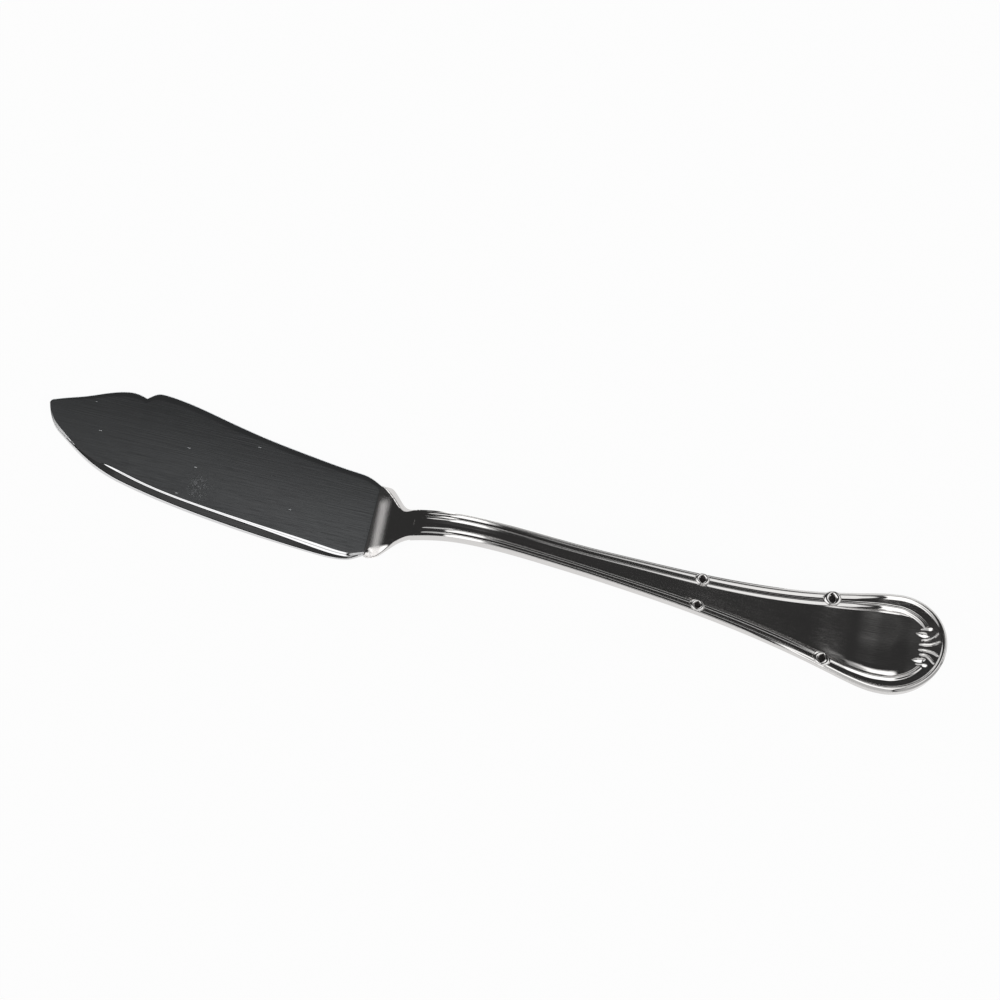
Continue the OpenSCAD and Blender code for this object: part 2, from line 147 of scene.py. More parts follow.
@dataclass(frozen=True)
class KnifeForm:
    """The knife's driving sizes, and the curves that follow from them.

    Lengths and zones are in millimetres. A track gives shares over shares of the length that it
    shapes, apart from strip_w, which gives millimetres.
    """

    blade_l: float = 74.0
    neck_l: float = 9.0
    knee_h: float = 11.2
    knee_run: float = 24.0
    tip_rise: float = 10.5
    spine_rise: float = 18.4
    edge_drop: float = 9.6
    blade_t: float = 1.4
    shank_half_w: float = 2.76
    shank_t: float = 3.0
    handle_t: float = 2.1
    end_t: float = 2.8
    end_lift: float = 3.9
    rest_back: float = 20.0
    reed_w_shank: float = 1.02
    reed_w_end: float = 1.45
    groove_w_shank: float = 0.1
    groove_w_end: float = 1.25
    reed_start: float = 9.4
    tie_wide_back: float = 26.0
    tie_narrow_back: float = 54.3
    curl_angle: float = 35.0
    lean: float = 0.14
    dish: float = 0.2
    fillet_h: float = 0.45
    fillet_w: float = 1.9
    fillet_far_w: float = 0.35
    shoulder: float = 0.35
    crown: float = 0.1
    crown_half: float = 12.0
    ease: float = 0.003
    profile_span: float = 1.2
    profile_taps: int = 25
    profile_fall: float = 3.0
    edge_reach: float = 0.004
    edge_settle: float = 0.985
    slope_reach: float = 0.05
    settle_run: float = 5.0
    settle_share: float = 0.6
    settle_zone: Zone = (60.0, 80.0)
    fillet_zone: Zone = (70.0, 82.0)
    fillet_fade: float = 4.0
    dish_power: float = 1.5
    least_room: float = 0.5
    shoulder_zone: Zone = (50.0, 80.0)
    round_settle: float = 50.0
    tip_x: float = field(default_factory=lambda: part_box("blade")[0][0] / MM)
    end_r: float = field(
        default_factory=lambda: (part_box("handle")[1][1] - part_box("handle")[0][1]) / MM / 2
    )

    spine_tip: Track = Track(
        ((0, 0), (0.003, 0.06), (0.01, 0.115), (0.027, 0.18), (0.1, 0.43), (0.162, 0.684),
         (0.205, 0.816), (0.236, 0.848), (0.272, 0.772))
    )
    spine_back: Track = Track(
        ((0.272, 0.772), (0.281, 0.85), (0.298, 0.968), (0.325, 1), (0.392, 0.924), (0.514, 0.677),
         (0.649, 0.411), (0.784, 0.215), (0.919, 0.06), (0.965, -0.01), (1, -0.17))
    )
    edge: Track = Track(
        ((0, 0), (0.003, 0.035), (0.017, 0.157), (0.061, 0.331), (0.118, 0.48), (0.196, 0.637),
         (0.291, 0.741), (0.419, 0.833), (0.554, 0.903), (0.689, 0.955), (0.824, 0.99), (0.878, 1),
         (0.919, 0.998), (0.946, 0.984), (0.966, 0.962), (0.982, 0.928), (1, 0.885))
    )
    strip_w: Track = Track(
        ((0, 0.15), (0.008, 0.2), (0.03, 0.5), (0.07, 0.52), (0.105, 0.5), (0.15, 0.95), (0.2, 1.75),
         (0.3, 1.98), (0.5, 2.12), (0.72, 2.3), (0.84, 2.12), (0.92, 1.65), (0.95, 1.3), (0.98, 0.85),
         (1, 0.45))
    )
    neck_side: Track = Track(
        ((0, 0), (0.22, 0.12), (0.33, 0.22), (0.44, 0.42), (0.56, 0.66), (0.67, 0.85), (0.78, 0.95), (1, 1))
    )
    flare: Track = Track(
        ((0, 0.039), (0.066, 0.012), (0.142, 0), (0.218, 0), (0.294, 0.01), (0.369, 0.032), (0.445, 0.074),
         (0.521, 0.123), (0.597, 0.188), (0.672, 0.28), (0.748, 0.405), (0.824, 0.572), (0.9, 0.789),
         (0.9375, 0.9), (0.975, 0.983), (1, 1))
    )
    reed_track: Track = Track(((0, 0), (0.445, 0.1), (0.63, 0.6), (0.83, 1), (1, 1)))
    groove_track: Track = Track(((0, 0), (0.7, 0.02), (0.84, 0.06), (0.92, 0.3), (1, 0.85), (1.1, 1)))
    climb: Track = Track(
        ((0, 0), (0.042, 0.015), (0.083, 0.067), (0.125, 0.14), (0.167, 0.214), (0.25, 0.36),
         (0.333, 0.5), (0.5, 0.737), (0.667, 0.9), (0.833, 0.98), (1, 1))
    )
    fall: Track = Track(
        ((0, 1), (0.049, 0.983), (0.146, 0.885), (0.244, 0.764), (0.39, 0.604), (0.537, 0.434),
         (0.683, 0.258), (0.829, 0.104), (0.927, 0.033), (1, 0))
    )
    lift: Track = Track(((0, 0), (0.3, 0.13), (0.5, 0.36), (0.7, 0.62), (0.9, 0.88), (1, 1)))
    neck_t: Track = Track(
        ((0, 0), (0.042, 0.05), (0.083, 0.25), (0.125, 0.5), (0.167, 0.7), (0.25, 0.95),
         (0.4, 1.08), (0.6, 1.1), (1, 1))
    )

    @property
    def end_x(self) -> float:
        """The handle end."""
        return CAD_BOX[1][0] / MM - self.ease

    @property
    def neck_x(self) -> float:
        """Where the blade meets the neck."""
        return self.tip_x + self.blade_l

    @property
    def shank_x(self) -> float:
        """Where the neck meets the shank."""
        return self.neck_x + self.neck_l

    @property
    def knee_x(self) -> float:
        """The highest point of the shank."""
        return self.neck_x + self.knee_run

    @property
    def rest_x(self) -> float:
        """The point of the handle that touches the table."""
        return self.end_x - self.rest_back

    @property
    def round_x(self) -> float:
        """Centre of the round handle end."""
        return self.end_x - self.end_r

    @property
    def y_shift(self) -> float:
        """From the handle axis to the middle of the knife's box."""
        return (self.end_r - self.spine_rise) / 2

    def top_z(self, x: Points) -> Points:
        """Height of the side profile's top line.

        Args:
            x: Places along the knife.

        Returns:
            The height above the table at each place.
        """
        x = np.asarray(x, float)
        taps = np.linspace(-1.0, 1.0, self.profile_taps)
        weights = np.exp(-self.profile_fall * taps**2)
        total = sum(w * self._raw_top(x + t * self.profile_span) for t, w in zip(taps, weights))
        return total / weights.sum()

    def _raw_top(self, x: Points) -> Points:
        """The side profile before its joins are eased."""
        up = self.blade_t + (self.knee_h - self.blade_t) * self.climb((x - self.neck_x) / self.knee_run)
        down = self.handle_t + (self.knee_h - self.handle_t) * self.fall(
            (x - self.knee_x) / (self.rest_x - self.knee_x)
        )
        end = self.handle_t + self.end_lift * self.lift((x - self.rest_x) / self.rest_back)
        return np.where(x < self.knee_x, up, np.where(x < self.rest_x, down, end))

    def body_t(self, x: Points) -> Points:
        """Thickness under the top line at each place."""
        x = np.asarray(x, float)
        near = blend(self.blade_t, self.shank_t, self.neck_t((x - self.neck_x) / self.knee_run))
        share = np.clip((x - self.knee_x) / (self.rest_x - self.knee_x), 0, 1)
        past = np.clip((x - self.rest_x) / self.rest_back, 0, 1)
        far = blend(self.shank_t, self.handle_t, share) + (self.end_t - self.handle_t) * past
        return np.minimum(np.where(x < self.knee_x, near, far), self.top_z(x))

    def along(self, x: Points) -> Points:
        """Share of the way from the shank's start to the round end."""
        return (np.asarray(x, float) - self.shank_x) / (self.round_x - self.shank_x)

    def half_w(self, x: Points) -> Points:
        """Half the handle's width at each place."""
        return blend(self.shank_half_w, self.end_r, self.flare(self.along(x)))

    def spread(self, x: Points) -> Points:
        """Slope of the handle's outline at each place."""
        d = self.slope_reach
        return (self.half_w(x + d) - self.half_w(x - d)) / (2 * d)

    def shoulder_drop(self, x: Points) -> Points:
        """How far the rounded shoulder falls at the outline."""
        return self.shoulder * smooth_step(*self.shoulder_zone, x)

    def reed_w(self, x: Points) -> Points:
        """Width of a reed at each place."""
        return blend(self.reed_w_shank, self.reed_w_end, self.reed_track(self.along(x)))

    def groove_w(self, x: Points) -> Points:
        """Width of the channel between the reeds at each place."""
        return blend(self.groove_w_shank, self.groove_w_end, self.groove_track(self.along(x)))

    def spine_y(self, s: Points) -> Points:
        """The spine's place across the blade at a share of the blade's length."""
        climb = self.spine_rise - self.tip_rise
        notch = self.spine_tip.points[-1][0]
        return self.tip_rise + climb * np.where(s < notch, self.spine_tip(s), self.spine_back(s))

    def edge_y(self, s: Points) -> Points:
        """The cutting edge's place across the blade at a share of the blade's length."""
        return self.tip_rise - (self.tip_rise + self.edge_drop) * self.edge(s)

    def edge_line(self, s: Points, width: Points) -> Points:
        """Find points at a distance in from the cutting edge.

        Args:
            s: Shares of the blade's length.
            width: The distances.

        Returns:
            Plan points.
        """
        d = self.edge_reach
        low, high = np.clip(s - d, 0, 1), np.clip(s + d, 0, 1)
        run = np.stack([(high - low) * self.blade_l, self.edge_y(high) - self.edge_y(low)], 1)
        run /= np.linalg.norm(run, axis=1)[:, None]
        inward = np.stack([-run[:, 1], run[:, 0]], 1)
        settle = smooth_step(self.edge_settle, 1, s)[:, None]
        inward = inward * (1 - settle) + np.array([0.0, 1.0]) * settle
        edge = np.stack([self.tip_x + self.blade_l * s, self.edge_y(s)], 1)
        return edge + inward * width[:, None]

    def blade_z(self, x: Points, y: Points) -> Points:
        """Height of the blade's crowned top, which runs on into the neck."""
        s = (x - self.tip_x) / self.blade_l
        near, far = self.edge_y(s), self.spine_y(s)
        return self.top_z(x) - self.crown * ((y - (near + far) / 2) / self.crown_half) ** 2


FORM = KnifeForm()


@dataclass(frozen=True)
class Rim:
    """Stations along one side of the handle, from the shank's start to the end's tip."""

    side: Side
    start_x: float = FORM.shank_x
    pitch: float = 0.3
    round_steps: int = 90

    def stations(self) -> tuple[Points, Points, Points]:
        """Work out the stations.

        Returns:
            Points of the outline, unit directions inwards, and the place that sizes are read at.
        """
        count = int((FORM.round_x - self.start_x) / self.pitch)
        x = np.linspace(self.start_x, FORM.round_x, count, endpoint=False)
        slope = FORM.spread(x)
        back = np.stack([slope, -np.ones_like(slope)], 1) / np.hypot(1, slope)[:, None]
        line = np.stack([x, FORM.half_w(x)], 1)
        angle = np.linspace(90, 0, self.round_steps)
        turn = np.radians(angle)
        arc = np.stack([np.cos(turn), np.sin(turn)], 1)
        ends = np.array([FORM.round_x, 0.0]) + FORM.end_r * arc
        outline = np.concatenate([line, ends]) * (1, self.side.value)
        inward = np.concatenate([back, -arc]) * (1, self.side.value)
        return outline, inward, np.concatenate([x, round_read(angle)])


def round_read(angle: Points) -> Points:
    """Where a section of the round end reads its sizes: they settle over the first half turn."""
    return FORM.round_x + (FORM.end_x - FORM.round_x) * smooth_step(0, FORM.round_settle, 90 - angle)


def floor_z(x: Points, depth: Points, read_at: Points, near: Points = True) -> Points:
    """Height of the plate's top, which leans in from the rim to a dished field.

    Args:
        x: Places along the knife.
        depth: Distances in from the outline.
        read_at: Places that the border's sizes are read at.
        near: Where the plate is on the near side, which has the broader fillet at its border.

    Returns:
        The height of the plate under the reeds and ornament.
    """
    border = 2 * FORM.reed_w(read_at) + FORM.groove_w(read_at)
    grown = (FORM.half_w(read_at) / FORM.end_r) ** FORM.dish_power
    late = blend(FORM.settle_share, 1.0, smooth_step(*FORM.settle_zone, x))
    settled = smooth_step(FORM.shank_x, FORM.shank_x + FORM.settle_run, x) * late
    lean = FORM.lean * border * settled * np.clip(depth / border, 0, 1)
    inside = np.clip((depth - border) / np.where(near, FORM.fillet_w, FORM.fillet_far_w), 0, 1)
    fade = hump(1.0, FORM.fillet_zone, (FORM.round_x, FORM.round_x + FORM.fillet_fade), x)
    fillet = FORM.fillet_h * fade * (1 - (1 - inside) ** 2)
    room = np.maximum(FORM.half_w(read_at) - border, FORM.least_room)
    sag = FORM.dish * grown * smooth_step(0, 1, np.clip((depth - border) / room, 0, 1))
    return FORM.top_z(x) - lean - fillet - sag


def plate_z(x: Points, y: Points) -> Points:
    """Height of the plate's top at any plan point."""
    straight = (FORM.half_w(x) - np.abs(y)) / np.hypot(1, FORM.spread(x))
    ahead = x - FORM.round_x
    angle = np.degrees(np.arctan2(np.abs(y), np.maximum(ahead, 1e-6)))
    depth = np.where(ahead < 0, straight, FORM.end_r - np.hypot(ahead, y))
    return floor_z(x, np.maximum(depth, 0), np.where(ahead < 0, x, round_read(angle)), y <= 0)


class Maker:
    """Makes closed, smooth pieces from rings of points, the way a grid is bent round by hand."""

    @staticmethod
    def clear() -> None:
        """Leave nothing selected or active, because an operator acts on all that is."""
        bpy.ops.object.select_all(action="DESELECT")
        bpy.context.view_layer.objects.active = None

    @staticmethod
    def shift(points: Points) -> Points:
        """Move points from the handle-axis frame in millimetres to the knife's frame in metres."""
        return (points + np.array([0.0, FORM.y_shift, 0.0])) * MM

    @classmethod
    def loft(cls, name: str, rings: Points, angle: float = PLAIN_ANGLE) -> bpy.types.Object:
        """Bend a grid through rings of points and close it.

        The reeds and walls follow the rim's own curve, which no turn or extrude gives, so the
        grid's points are placed by their formula and the rest is done with edit operators.

        Args:
            name: Name of the piece.
            rings: Array of rings, each a closed loop of points in millimetres.
            angle: Faces that meet at less than this angle are shaded as one.

        Returns:
            The new object, selected and active.
        """
        rows, cols = rings.shape[:2]
        looped = np.concatenate([rings, rings[:, :1]], 1)
        cls.clear()
        bpy.ops.mesh.primitive_grid_add(x_subdivisions=cols, y_subdivisions=rows - 1, size=MM)
        piece = bpy.context.object
        piece.name = name
        piece.data.name = name
        co = cls.shift(looped.reshape(-1, 3))
        piece.data.vertices.foreach_set("co", co.astype(np.float32).ravel())
        bpy.ops.object.mode_set(mode="EDIT")
        bpy.ops.mesh.select_all(action="SELECT")
        bpy.ops.mesh.remove_doubles(threshold=WELD)
        bpy.ops.mesh.select_all(action="DESELECT")
        bpy.ops.mesh.select_non_manifold(extend=False)
        bpy.ops.mesh.fill_holes(sides=0)
        bpy.ops.mesh.select_all(action="SELECT")
        bpy.ops.mesh.normals_make_consistent(inside=False)
        bpy.ops.object.mode_set(mode="OBJECT")
        bpy.ops.object.shade_smooth_by_angle(angle=math.radians(angle))
        return piece


class Sock:
    """Wraps a shader socket or a number so that sums on it add Math nodes."""

    def __init__(self, tree: bpy.types.NodeTree, value: object) -> None:
        """Keep the tree and the socket or number."""
        self.tree = tree
        self.value = value

    def node(self, kind: str, settings: dict, **inputs: object) -> bpy.types.Node:
        """Add a node.

        Args:
            kind: The node's type.
            settings: Its own properties, set first.
            inputs: Values or links by input name, or by number as i0, i1.

        Returns:
            The new node.
        """
        made = self.tree.nodes.new(kind)
        for key, value in settings.items():
            setattr(made, key, value)
        for key, value in inputs.items():
            name = int(key[1:]) if key[0] == "i" and key[1:].isdigit() else key.replace("_", " ")
            raw = value.value if isinstance(value, Sock) else value
            if isinstance(raw, bpy.types.NodeSocket):
                self.tree.links.new(raw, made.inputs[name])
            else:
                made.inputs[name].default_value = raw
        return made

    def math(self, operation: str, *values: object) -> "Sock":
        """Add a Math node and return its result."""
        inputs = {f"i{i}": v for i, v in enumerate(values)}
        return Sock(self.tree, self.node("ShaderNodeMath", {"operation": operation}, **inputs).outputs[0])

    def __add__(self, other: object) -> "Sock":
        """Sum."""
        return self.math("ADD", self, other)

    def __radd__(self, other: object) -> "Sock":
        """Sum with the number first."""
        return self.math("ADD", other, self)

    def __sub__(self, other: object) -> "Sock":
        """Difference."""
        return self.math("SUBTRACT", self, other)

    def __rsub__(self, other: object) -> "Sock":
        """Difference with the number first."""
        return self.math("SUBTRACT", other, self)

    def __mul__(self, other: object) -> "Sock":
        """Product."""
        return self.math("MULTIPLY", self, other)

    def __rmul__(self, other: object) -> "Sock":
        """Product with the number first."""
        return self.math("MULTIPLY", other, self)

    def step(self, low: float, high: float) -> "Sock":
        """Rise from 0 to 1 between two values, level at both ends."""
        made = self.node("ShaderNodeMapRange", {"interpolation_type": "SMOOTHSTEP"}, Value=self)
        made.inputs["From Min"].default_value = low
        made.inputs["From Max"].default_value = high
        return Sock(self.tree, made.outputs["Result"])


@dataclass(frozen=True)
class PolishedSteel:
    """Mirror-polished stainless steel with the faint marks of grinding and use, and a painted highlight in
    a band across the neck's foot.

    Places and widths are in millimetres. A scale gives the cells of a pattern to the metre along
    x, y and z, and an edge is where a pattern's value fades in.
    """

    name: str
    colour: tuple[float, float, float] = (0.62, 0.62, 0.625)
    roughness: float = 0.09
    grain: float = 0.05
    grain_bump: float = 0.02
    scratches: float = 0.0
    smudge: float = 0.0
    buffed: float = 0.0
    least_roughness: float = 0.02
    line_scale: Triple = (60.0, 5200.0, 900.0)
    fine_scale: Triple = (150.0, 14000.0, 2400.0)
    fine_share: float = 0.6
    cloud_scale: Triple = (70.0, 90.0, 90.0)
    smudge_at: tuple[float, float] = (-64.0, -1.0)
    smudge_size: Triple = (6.5, 7.0, 5.0)
    blot_scale: Triple = (2600.0, 2600.0, 2600.0)
    blot_edge: Zone = (0.42, 0.66)
    band_back: float = 24.25
    band_lean: float = 0.033
    band_w: float = 2.1
    # How much the band's base colour is raised: a painted highlight
    band_highlight_tone: float = 0.55
    band_fade: Zone = (0.8, 4.0)
    band_loss: float = 0.85
    nick_turn: float = 0.35
    nick_scale: Triple = (110.0, 1100.0, 80.0)
    nick_edge: Zone = (0.02, 0.055)
    nick_clouds: Zone = (0.48, 0.55)
    nick_roughness: float = 0.15

    def build(self) -> bpy.types.Material:
        """Make the material.

        Returns:
            The finished material.
        """
        made = bpy.data.materials.new(self.name)
        made.use_nodes = True
        tree = made.node_tree
        shader = tree.nodes["Principled BSDF"]
        shader.inputs["Metallic"].default_value = 1.0
        start = Sock(tree, 0.0)
        place = start.node("ShaderNodeTexCoord", {}).outputs["Object"]
        lines = self._noise(start, place, self.line_scale, 3.0)
        fine = self._noise(start, place, self.fine_scale, 2.0)
        cloud = self._noise(start, place, self.cloud_scale, 4.0)
        streak = (lines - 0.5) + (fine - 0.5) * self.fine_share
        rough = self.roughness + streak * self.grain + (cloud - 0.5) * self.grain
        tone = 1.0 + streak * self.grain + (cloud - 0.5) * self.grain
        height = streak * self.grain_bump
        if self.smudge:
            mark = self._smudge(start, place)
            rough = rough + mark * self.smudge
        if self.buffed:
            band = self._buffed_highlight_band(start, place)
            rough = rough + band * self.buffed
            # Painted highlight: the band's base colour is raised
            tone = tone + band * self.band_highlight_tone
        if self.scratches:
            nick = self._scratch(start, place) * cloud.step(*self.nick_clouds)
            rough = rough + nick * self.nick_roughness
            height = height - nick * self.scratches
        shade = start.node("ShaderNodeVectorMath", {"operation": "SCALE"}, i0=self.colour, Scale=tone)
        tree.links.new(shade.outputs[0], shader.inputs["Base Color"])
        limited = rough.math("MAXIMUM", rough, self.least_roughness)
        tree.links.new(limited.value, shader.inputs["Roughness"])
        bump = start.node("ShaderNodeBump", {}, Height=height)
        bump.inputs["Distance"].default_value = MM
        bump.inputs["Strength"].default_value = 1.0
        tree.links.new(bump.outputs["Normal"], shader.inputs["Normal"])
        return made

    @staticmethod
    def _noise(start: Sock, place: object, scale: Triple, detail: float) -> Sock:
        """Noise stretched by its own scale along each axis."""
        spot = start.node("ShaderNodeMapping", {}, Vector=place)
        spot.inputs["Scale"].default_value = scale
        made = start.node("ShaderNodeTexNoise", {}, Vector=spot.outputs[0], Scale=1.0, Detail=detail)
        return Sock(start.tree, made.outputs[0])

    def _smudge(self, start: Sock, place: object) -> Sock:
        """A cloudy finger mark on the blade."""
        x, y = self.smudge_at
        spot = start.node("ShaderNodeMapping", {"vector_type": "TEXTURE"}, Vector=place)
        spot.inputs["Location"].default_value = (x * MM, (FORM.y_shift + y) * MM, FORM.blade_t * MM)
        spot.inputs["Scale"].default_value = tuple(size * MM for size in self.smudge_size)
        away = start.node("ShaderNodeVectorMath", {"operation": "LENGTH"}, i0=spot.outputs[0])
        soft = 1.0 - Sock(start.tree, away.outputs["Value"]).step(0.0, 1.0)
        return soft * self._noise(start, place, self.blot_scale, 2.0).step(*self.blot_edge)

    def _buffed_highlight_band(self, start: Sock, place: object) -> Sock:
        """A band across the foot of the neck: softly buffed, so rougher, and lighter in base colour as a
        painted highlight.
        """
        axes = start.node("ShaderNodeSeparateXYZ", {}, i0=place)
        x, y = Sock(start.tree, axes.outputs[0]), Sock(start.tree, axes.outputs[1])
        away = x + y * self.band_lean + self.band_back * MM
        away = away.math("ABSOLUTE", away)
        band = 1.0 - away.step(0.0, self.band_w * MM)
        first, last = self.band_fade
        return band * (1.0 - y.step(first * MM, last * MM) * self.band_loss)

    def _scratch(self, start: Sock, place: object) -> Sock:
        """A few short, thin scratches."""
        spot = start.node("ShaderNodeMapping", {}, Vector=place)
        spot.inputs["Rotation"].default_value = (0.0, 0.0, self.nick_turn)
        spot.inputs["Scale"].default_value = self.nick_scale
        made = start.node("ShaderNodeTexVoronoi", {"feature": "F1"}, Vector=spot.outputs[0], Scale=1.0)
        return 1.0 - Sock(start.tree, made.outputs["Distance"]).step(*self.nick_edge)


@dataclass
class Part:
    """A sub-assembly of the knife: builds its meshes, dresses them and logs them."""

    finish: PolishedSteel
    slot: Slot

    def dress(
        self, piece: bpy.types.Object, *nodes: str, finish: PolishedSteel | None = None
    ) -> bpy.types.Object:
        """Give a piece its finish, its body and the nodes that it stands for.

        Args:
            piece: The finished object.
            nodes: Names of the nodes that it replaces.
            finish: Its finish, where that isn't the sub-assembly's own.

        Returns:
            The same object.
        """
        piece.data.materials.clear()
        piece.data.materials.append((finish or self.finish).build())
        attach(piece, BODY)
        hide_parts(*nodes)
        LOG.info("%s: %d faces for %s", piece.name, len(piece.data.polygons), ", ".join(nodes))
        return piece


@dataclass
class Blade(Part):
    """The flat blade with its humped and notched spine."""

    steps: int = 420
    spine_round: float = 0.22
    flat_cells: int = 16
    tongue_l: float = 0.5
    tongue_w: float = 0.93
    tongue_h: float = 0.9
    crowding: float = 1.5
    notch_margin: float = 0.02
    notch_steps: int = 41
    least_w: float = 0.02
    round_share: float = 0.4
    round_cells: int = 6

    def shares(self) -> Points:
        """Shares of the blade's length, dense at the tip and the notch."""
        base = np.linspace(0, 1, self.steps) ** self.crowding
        notch, margin = FORM.spine_tip.points[-1][0], self.notch_margin
        return np.unique(
            np.concatenate([base, np.linspace(notch - margin, notch + margin, self.notch_steps)])
        )

    def build(self) -> list[bpy.types.Object]:
        """Make the blade.

        Returns:
            The blade.
        """
        s = self.shares()
        near = FORM.edge_line(s, FORM.strip_w(s))
        far = np.stack([near[:, 0], FORM.spine_y((near[:, 0] - FORM.tip_x) / FORM.blade_l)], 1)
        far[:, 1] = np.minimum(far[:, 1], CAD_BOX[1][1] / MM - FORM.y_shift - FORM.ease)
        far[:, 1] = np.maximum(far[:, 1], near[:, 1] + self.least_w)
        wide = far[:, 1] - near[:, 1]
        r = np.minimum(self.spine_round, wide * self.round_share)
        cols = []
        for share in np.linspace(0, 1, self.flat_cells):
            flat = near + (far - near) * ((wide - r) / wide * share)[:, None]
            cols.append(np.column_stack([flat, FORM.blade_z(flat[:, 0], flat[:, 1])]))
        t = cols[-1][:, 2]
        for turn in np.linspace(0, math.pi / 2, self.round_cells)[1:]:
            y = far[:, 1] - r * (1 - math.sin(turn))
            cols.append(np.column_stack([far[:, 0], y, t - r * (1 - math.cos(turn))]))
        for turn in np.linspace(math.pi / 2, 0, self.round_cells):
            y = far[:, 1] - r * (1 - math.sin(turn))
            cols.append(np.column_stack([far[:, 0], y, r * (1 - math.cos(turn))]))
        for share in np.linspace(1, 0, self.flat_cells)[1:]:
            flat = near + (far - near) * ((wide - r) / wide * share)[:, None]
            cols.append(np.column_stack([flat, np.zeros(len(s))]))
        rings = np.stack(cols, 1)
        tongue = rings[-1] * (1, self.tongue_w, self.tongue_h) + (self.tongue_l, 0, 0)
        return [self.dress(Maker.loft("blade_body", np.append(rings, tongue[None], 0)), "blade")]


@dataclass
class CuttingEdge(Part):
    """The sloping step, the thin land and the lip along the cutting edge."""

    step_w: Track = Track(
        ((0, 0.05), (0.008, 0.08), (0.03, 0.36), (0.07, 0.36), (0.105, 0.16), (0.15, 0.2), (0.2, 0.3),
         (0.45, 0.34), (0.55, 0.4), (0.7, 0.58), (0.83, 0.9), (0.93, 0.85), (0.97, 0.65), (1, 0.33))
    )
    step_slope: float = 0.69
    ledge_fall: float = 0.04
    lip_round: float = 0.12
    tip_step_end: Zone = (0.075, 0.115)
    long_step_start: Zone = (0.18, 0.25)
    steps: int = 420
    crowding: float = 1.3
    step_cells: int = 16
    land_cells: int = 8
    lip_cells: int = 5

    def build(self) -> list[bpy.types.Object]:
        """Make the strip.

        Returns:
            The strip.
        """
        s = np.linspace(0, 1, self.steps) ** self.crowding
        whole, step = FORM.strip_w(s), self.step_w(s)
        ground = np.maximum(1 - smooth_step(*self.tip_step_end, s), smooth_step(*self.long_step_start, s))
        start = FORM.edge_line(s, whole)
        high = FORM.blade_z(start[:, 0], start[:, 1])
        foot = high - self.step_slope * step * ground
        lip = foot - self.ledge_fall
        cols = []
        for c in np.linspace(0, 1, self.step_cells):
            p = FORM.edge_line(s, whole - step * c)
            z = high - (high - foot) * c * c * (3 - 2 * c)
            cols.append(np.column_stack([p, z]))
        for c in np.linspace(0, 1, self.land_cells)[1:]:
            p = FORM.edge_line(s, blend(whole - step, self.lip_round, c))
            cols.append(np.column_stack([p, blend(foot, lip, c)]))
        for turn in np.linspace(0, math.pi / 2, self.lip_cells)[1:]:
            p = FORM.edge_line(s, self.lip_round * (1 - math.sin(turn)) + 0 * s)
            cols.append(np.column_stack([p, lip - self.lip_round * (1 - math.cos(turn))]))
        for turn in np.linspace(math.pi / 2, 0, self.lip_cells - 1):
            p = FORM.edge_line(s, self.lip_round * (1 - math.sin(turn)) + 0 * s)
            cols.append(np.column_stack([p, self.lip_round * (1 - math.cos(turn)) + 0 * s]))
        cols.append(np.column_stack([start, 0 * s]))
        return [self.dress(Maker.loft("edge_strip", np.stack(cols, 1)), "cutting_edge")]


